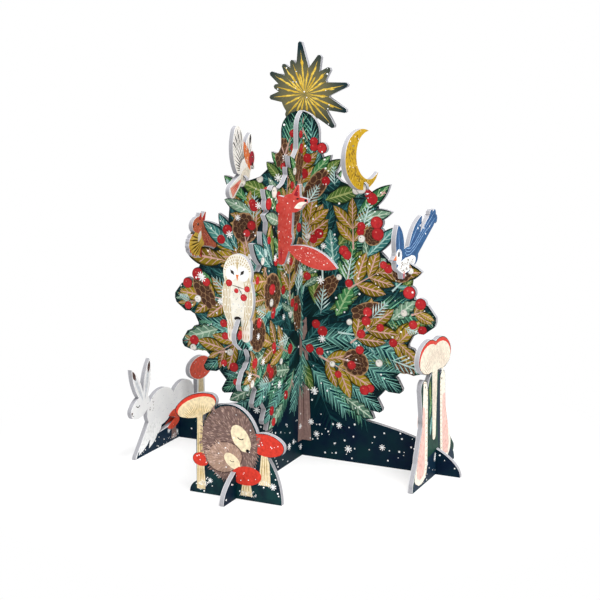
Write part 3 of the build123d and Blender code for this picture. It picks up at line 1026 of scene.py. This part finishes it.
swallow = {"seat": 147, "face": mottled("#234d7a", "#316190", 3.5), "marks": [
    # white belly and head under the blue back
    (oval, -8, 2.6, 18.5, 5.5, 4, "snow", 0.6),
    (oval, -22.5, 10.5, 6, 5.4, 0, "snow", 0.7),
    (coat, (-9, 2.2, 15, 3.8), 40, 1.9, 0.9, 35, "goldDark", 30),
    (backWaves, 7, 1.25),
    (wing, (-17, 6), (-24, 32), 11),
    (wing, (-6, 8), (21, 32.5), 10),
    # tail
    (strokes, [((26, 22), (46, 33.5)), ((26, 20), (49, 30.5)), ((28, 17.5), (52, 26.5)),
               ((28, 24), (40, 33.5))], 0.9, "blueDeep", 0.1),
    (strokes, [((24, 21), (47, 32)), ((26, 18.5), (50, 28.5))], 0.5, "blueLight", 0.8),
    (scatter, (8, 14, 44, 30), 5, (0.6, 1.0), "snow"),
    # bill, eye and legs
    (lay, "needle", (-26.8, 10.6), (-32.8, 9.6), 4, "orange", 0.4),
    (oval, -22.6, 12.2, 1.7, 1.9, 0, "soot", 0.0, "dot"),
    (speck, -23.2, 12.9, 0.5, "cream", 1),
    (strokes, [((-14, -1.5), (-13.2, -6)), ((-11.4, -1.5), (-11.7, -6))], 1.3, "coral", 0.2, "bar"),
]}
printCard("swallow", swallow)

fox = {"seat": 176, "face": mottled("#c9463f", "#d8574e", 4), "marks": [
    (coat, (2, 2, 11, 24), 130, 2.0, 0.4, -82, "red", 12),
    (coat, (2, 2, 12, 25), 65, 1.2, 0.3, -82, "blush", 12),
    (coat, (27, -20, 18, 6), 70, 2.0, 0.4, -18, "red", 12),
    (coat, (27, -18, 18, 5), 60, 1.2, 0.32, -18, "blush", 12),
    (scatter, (-10, -24, 22, 26), 16, (0.3, 0.5), "snow"),
    (scatter, (10, -28, 44, -10), 10, (0.3, 0.5), "snow"),
    # head: pale chin and cheek, dark nose, eye and ear
    (lay, "leaf", (14.5, 13.2), (24.2, 17.4), 4.4, "cream", 0.8),
    (oval, 23.4, 18.9, 1.4, 1.1, 12, "soot", 0.0, "dot"),
    (lay, "sliver", (15.4, 19.4), (18.6, 19.9), 1.2, "soot", 0.0),
    (lay, "needle", (15.6, 21.6), (17.4, 28.4), 3, "crimson", 0.2),
    (strokes, [((-5.6, 16), (-6.6, 25.6)), ((-4.2, 14), (-6, 22))], 0.9, "blush", 0.8),
    (strokes, [((4.4, -13), (4.5, -26)), ((-4.5, -13), (-5, -26))], 1.0, "crimson", 0.5),
]}
printCard("fox", fox)


def flanks(sheet, middle, shares):
    # long feather lines that follow the body's oval
    for row, share in enumerate(shares):
        for low in range(3 + row % 2 * 5, 34, 10):
            heights = [low + step for step in (0, 3, 6, 9)]
            bulge = [11 * math.sqrt(max(0, 1 - ((v - 22) / 24) ** 2)) for v in heights]
            trail(sheet, [(middle + share * b, v) for b, v in zip(bulge, heights)], 0.42, "ochreLine", 0.4)


def crownMarks(sheet, middle, radius, count):
    angles = [18 + 144 * step / (count - 1) for step in range(count)]
    fan(sheet, middle, angles, radius - 1.8, radius, 0.65, "ochreLine", 0.3)


def toes(sheet):
    for hand in (-1, 1):
        for toe in (-1.7, 0, 1.7):
            strokes(sheet, [((hand * 5.1 + toe, 4), (hand * 5.2 + toe, 0.4)),
                            ((hand * 5.2 + toe, -1), (hand * 5.2 + toe * 1.2, -5.4))], 0.5, "ochreLine", 0.3)


owl = {"seat": 113, "face": mottled("#e6e0d0", "#f3efe4", 3), "marks": [
    (flanks, -0.8, (-0.95, -0.86, -0.76, -0.65, -0.52, 0.52, 0.65, 0.76, 0.86, 0.95)),
    (coat, (-0.8, 19, 5, 12), 40, 0.9, 0.6, -90, "fogLine", 10),
    # rows of short marks over the crown, and two white discs round the eyes
    (crownMarks, (-0.8, 38), 12.8, 19),
    (crownMarks, (-0.8, 38), 10.8, 16),
    (crownMarks, (-0.8, 38), 8.8, 12),
    (oval, -5, 39, 5.2, 4.2, 70, "snow", 0.7),
    (oval, 3.4, 39, 5.2, 4.2, 110, "snow", 0.7),
    (lay, "sliver", (-0.8, 50.5), (-0.8, 38.5), 0.9, "ochreLine", 0.6),
    (strokes, [((-6, 41.4), (-3, 37.8)), ((4.4, 41.4), (1.4, 37.8))], 2.3, "soot", 0.6),
    (lay, "needle", (-0.8, 38.2), (-0.8, 33.8), 2.2, "orange", 0.5),
    # a berry twig across the breast
    (strokes, [((-7, 31.5), (6.4, 28.4)), ((-0.6, 30.2), (3.6, 23.6))], 0.7, "umber", 0.5),
    (berryOn, -7, 32.2, 2.4),
    (berryOn, 6.4, 29, 2.1),
    (berryOn, 3.8, 23.2, 2.4),
    (berryOn, -1.6, 27.4, 1.7),
    (oval, -0.8, 8.6, 2.5, 1.5, 0, "soot", 0.3),
    (toes,),
]}
printCard("owl", owl)


def toadstoolAt(sheet, u, v, halfLength, halfWidth, turn, stem, capInk, stemInk, dots):
    # a stem (base, tip, width) with snow at its foot, under a dotted cap
    base, tip, width = stem
    draw = sheet["draw"]
    lay(sheet, "post", base, tip, width, stemInk, 0.7)
    lines = [(Vector(base) + Vector((side * width, 1)), Vector(tip) + Vector((side * width * 0.5, -1)))
             for side in (-0.32, -0.05, 0.22)]
    strokes(sheet, lines, 0.6, "ochreLine" if stemInk == "buff" else "barkLine", 0.3)
    coat(sheet, (base[0], base[1] + 0.5, width * 0.9, 1.8), 26, 1.8, 0.35, 90, "snow", 40)
    oval(sheet, u, v, halfLength, halfWidth, turn, capInk, 0.6)
    for dot in range(dots):
        angle, reach = draw.uniform(0, 2 * math.pi), math.sqrt(draw.random()) * 0.8
        du, dv = halfLength * reach * math.cos(angle), halfWidth * reach * math.sin(angle)
        size = draw.uniform(0.25, 0.45)
        speck(sheet, u + du, v + dv + du * math.tan(math.radians(turn)), size, "snow", 0.9)


def snowHill(sheet, middle, halfWidth, height, dots, flakes):
    left, right = middle - halfWidth, middle + halfWidth
    lay(sheet, "disc", (left + 0.5, 0.4), (right - 0.5, 0.4), 2 * height - 1, "navy", 0.4)
    box = (left, 1, right, height - 1)
    curve = lambda u, v: ((u - middle) / halfWidth) ** 2 + (v / height) ** 2 < 0.8
    scatter(sheet, box, dots, (0.3, 0.65), "snow", "dot", curve)
    scatter(sheet, box, flakes, (1.6, 2.4), "snow", "flake", curve)


def ear(sheet, base, tip):
    lay(sheet, "leaf", base, tip, 3.6, "mist", 0.3)
    lay(sheet, "leaf", Vector(base).lerp(Vector(tip), 0.7), tip, 3.6, "umber", 0.3)


hare = {"seat": 0, "face": hareCoatWithPaintedShade, "marks": [
    (snowHill, -2.5, 62.5, 14, 30, 7),
    (lay, "leaf", (-36, 24), (-61, 2.4), 9, "snow", 0.7),
    (lay, "leaf", (-30, 22), (-46.6, 4), 8, "snow", 0.7),
    # both caps take the lighter copy of the red, painted light against the shade on this card
    (toadstoolAt, 33, 47, 17.4, 9, -6, ((33, 3), (33, 42), 11.4), "scarlet", "buff", 9),
    (toadstoolAt, -10, 17, 11, 7, 14, ((-10, 2), (-10, 14), 8), "scarlet", "bark", 5),
    (coat, (-24, 30, 18, 9), 30, 2.2, 0.35, 8, "mist", 16),
    (coat, (6, 30, 13, 11), 40, 2.2, 0.35, -12, "mist", 16),
    (ear, (-53, 42), (-66.8, 66.8)),
    (ear, (-50.8, 42), (-43.2, 70)),
    # closed eye, nose and mouth
    (trail, [(-62.6, 40.2), (-61.2, 39), (-59.4, 38.8), (-57.8, 39.8)], 0.7, "soot", 0.2),
    (oval, -69, 35.8, 1.5, 1.2, 12, "umber", 0.2, "dot"),
    (lay, "sliver", (-68.5, 34.4), (-65.6, 33.2), 0.5, "umber", 0.4),
    (coat, (-42, 36, 6, 5), 14, 1.2, 0.6, 40, "umber", 50),
]}
printCard("hare", hare)


def hood(sheet, base, tip, width, hand):
    # a cream border, a pale pink middle and a row of stitches down the inner side
    lay(sheet, "hood", base, tip, width, "cream", 0.5)
    rib = Vector(tip) - Vector(base)
    lay(sheet, "hood", Vector(base) + rib * 0.05, Vector(base) + rib * 0.72, width * 0.6, "blush", 0.6)
    for stitch in range(20):
        share = 0.06 + 0.044 * stitch
        at = Vector(base) + rib * share
        speck(sheet, at.x - hand * width * 0.4 * (1 - 0.5 * share), at.y, 0.5, "ochreLine", 0.4)
    coat(sheet, (base[0], 28, width * 0.26, 20), 40, 2.4, 0.5, -90, "coral", 10)
    speck(sheet, tip[0] - hand * 2, tip[1] - 8, 0.8, "soot", 0.1)


grove = {"seat": 0, "face": mottled("#10302b", "#1d4a3c", 6), "marks": [
    (snowHill, -4.5, 43, 18, 26, 5),
    (lay, "leaf", (3.5, 78), (4, 18), 9, "navy", 0.2),
    (lay, "leaf", (-16, 44), (-13, 60), 5, "leafGreen", 0.4),
    (lay, "leaf", (-15, 56), (-17, 72), 5, "leafMoss", 0.4),
    (lay, "leaf", (-14, 32), (-12, 46), 5, "leafTeal", 0.4),
    # a hood each side of the stem
    (hood, (-33, 2), (-28, 77.5), 28, -1),
    (hood, (20, 6), (9.3, 76), 24, 1),
    (lay, "post", (-7.5, 86), (-6.4, 30), 11, "cream", 0.2),
    (oval, -6.4, 30, 3.1, 3.1, 0, "cream", 0.2),
    (strokes, [((-10.4 + 2 * line, 80), (-8.2 + 1.2 * line, 34 + 3 * line)) for line in range(4)],
     0.6, "tan", 0.6),
    # cap: thin red rim above, pale gills fanning out below it
    (oval, -19, 89, 19.6, 11.6, -4, "red", 0.6),
    (oval, 5.5, 87, 20, 11.1, -12, "red", 0.6),
    (oval, -18.8, 87.2, 18.7, 10.7, -4, "cream", 0.1),
    (oval, 5.7, 85.2, 19.1, 10.2, -12, "cream", 0.1),
    (oval, -7, 84.5, 14, 8.4, -8, "cream", 0.1),
    (fan, (-7, 68), range(22, 168, 5), 13, 30, 0.6, "tan", 0.7),
]}
printCard("toadstool", grove)


def sleepingHead(sheet, u, v, halfLength, halfWidth, turn, size):
    # a pale face with a closed eye and a dark nose at its lower end
    oval(sheet, u, v, halfLength, halfWidth, turn, "buff", 0.95)
    lid = [(-2.4, 0.5), (-1.2, -0.5), (0.6, -0.7), (2.0, 0.1)]
    trail(sheet, [(u + size * du, v + size * dv) for du, dv in lid], 0.65 * size, "soot", 0.1)
    nose = Vector((u, v)) + heading(turn, halfLength * 0.94)
    oval(sheet, *nose, 1.4 * size, 1.2 * size, 0, "soot", 0.1, "dot")


hedgehogs = {"seat": 0, "face": mottled("#0b1d2c", "#12383a", 8), "marks": [
    (scatter, (-34, 1, 36, 36), 46, (0.3, 0.65), "snow"),
    (scatter, (-30, 3, 32, 30), 9, (1.7, 2.6), "snow", "flake"),
    # tall pale mushroom: red rim, then gills
    (lay, "post", (-25.2, 3), (-25.4, 57), 6.4, "buff", 0.5),
    (strokes, [((-27, 5), (-26.6, 54)), ((-25, 5), (-25.4, 54)), ((-23.6, 5), (-24.4, 54))],
     0.6, "ochreLine", 0.2),
    (oval, -28.5, 61.2, 16.6, 7.6, 24, "red", 0.6),
    (oval, -27.9, 59.8, 15.7, 6.5, 24, "buff", 0.6),
    (fan, (-24.4, 47), range(52, 158, 6), 6, 17, 0.45, "ochreLine", 0.25),
    (toadstoolAt, -25, 24, 6.2, 4.8, 0, ((-24, 6), (-24.6, 22), 5), "red", "buff", 4),
    (toadstoolAt, 24, 40, 13.2, 7.7, -6, ((23, 12), (23.5, 36), 9), "red", "buff", 8),
    # the old one
    (oval, -3, 38, 26, 21, 90, "umber", 0.9),
    (coat, (-3, 38.5, 21, 26), 520, 3.2, 0.8, (8, 40, 0), "mauve", 10),
    (coat, (-3, 38.5, 21, 26), 260, 2.4, 0.4, (8, 40, 0), "tan", 12),
    (coat, (-3, 38.5, 21, 26), 130, 2.4, 0.4, (8, 40, 0), "umber", 12),
    (sleepingHead, 5.6, 42.5, 10, 6.2, -58, 1.0),
    # the young one, ringed so that it stands out from the other's coat
    (oval, -7, 28, 14.2, 10.9, 16, "umber", 0.1),
    (oval, -7, 28, 13.5, 10.2, 16, "tan", 0.2),
    (coat, (-7.5, 28.5, 12.5, 9.4), 220, 2.8, 0.7, (1, 26, 0), "tan", 12),
    (coat, (-7.5, 28.5, 12.5, 9.4), 110, 2.2, 0.4, (1, 26, 0), "mauve", 12),
    (sleepingHead, -1, 26, 7, 4.3, -38, 0.72),
    (scatter, (-20, 18, 18, 62), 12, (0.3, 0.55), "snow"),
    (toadstoolAt, 9.5, 17, 11.2, 6.6, 4, ((9.5, 3), (9.5, 14), 9), "red", "buff", 6),
]}
printCard("hedgehog", hedgehogs)

# the unit shapes were only patterns to copy
for unit in units.values():
    bpy.data.objects.remove(unit)

# Floor, light and camera
stage = {"floor": 6.0, "tone": "#f6f6f6", "roughness": 0.9, "clear": (0.08, 0.25), "leastWhite": 0.45}


def pureWhite(tree):
    # white for the eye, mirrors and glass; other rays see the plain surface
    rays = addNode(tree, "LightPath").node.outputs
    seen = addNode(tree, "Math", {0: rays["Is Camera Ray"], 1: rays["Is Glossy Ray"]}, operation="MAXIMUM")
    return addNode(tree, "Math", {0: seen, 1: rays["Is Transmission Ray"]}, operation="MAXIMUM")


deselect()
bpy.ops.mesh.primitive_plane_add(size=stage["floor"], location=(0, 0, 0))
floor = bpy.context.object
floor.name = "floor"
# White studio paper: matt, with the object's soft shadow near it and pure white further out
floorPaint, tree, shader = newMaterial("white_studio_paper")
shader.inputs["Base Color"].default_value = linear(stage["tone"])
shader.inputs["Roughness"].default_value = stage["roughness"]
shader.inputs["Specular IOR Level"].default_value = 0.0
place = addNode(tree, "TexCoord", out="Object")
reach = addNode(tree, "VectorMath", {0: place}, operation="LENGTH")
near, far = stage["clear"]
clear = addNode(tree, "MapRange", {"Value": reach, 1: near, 2: far, 3: stage["leastWhite"]},
                interpolation_type="SMOOTHSTEP")
share = addNode(tree, "Math", {0: clear, 1: pureWhite(tree)}, operation="MULTIPLY")
glow = addNode(tree, "Emission", {"Color": "#ffffff", "Strength": 1.0})
sheetOut = addNode(tree, "MixShader", {0: share, 1: shader.outputs[0], 2: glow})
tree.links.new(sheetOut, tree.nodes["Material Output"].inputs["Surface"])
floor.data.materials.append(floorPaint)

# place, size and power of each softbox; the high one reaches over the tree to the cards behind the front arm
studio = {
    "sky": 0.62,
    "aim": (0, 0, 0.116),
    "boxes": {
        "keySoftbox": ((0.55, -1.05, 0.6), 0.8, 1.2),
        "sideSoftbox": ((1.0, -0.85, 0.45), 1.1, 1.2),
        "topSoftbox": ((0.3, -0.16, 1.25), 0.6, 17.0),
    },
}
world = bpy.data.worlds.new("studio")
bpy.context.scene.world = world
world.use_nodes = True
tree = world.node_tree
background = tree.nodes["Background"]
background.inputs["Color"].default_value = (1, 1, 1, 1)
strength = addNode(tree, "Mix", {0: pureWhite(tree), 2: studio["sky"], 3: 1.0})
tree.links.new(strength, background.inputs["Strength"])


def placed(name, data, location, aim):
    item = bpy.data.objects.new(name, data)
    bpy.context.collection.objects.link(item)
    item.location = location
    item.rotation_euler = (Vector(aim) - item.location).to_track_quat("-Z", "Y").to_euler()
    return item


for name, (location, size, power) in studio["boxes"].items():
    lamp = bpy.data.lights.new(name, "AREA")
    lamp.size = size
    lamp.energy = power
    placed(name, lamp, location, studio["aim"])

cameraSetup = {"place": (0.4206, -0.8961, 0.3219), "aim": (0, 0, 0.1161), "lens": 84, "shiftPixels": -1,
               "imagePixels": 600}
lens = bpy.data.cameras.new("photoCamera")
lens.lens = cameraSetup["lens"]
lens.sensor_width = 36
lens.shift_x = cameraSetup["shiftPixels"] / cameraSetup["imagePixels"]
bpy.context.scene.camera = placed("photoCamera", lens, cameraSetup["place"], cameraSetup["aim"])
bpy.context.scene.view_settings.view_transform = "Standard"
print("stage set")
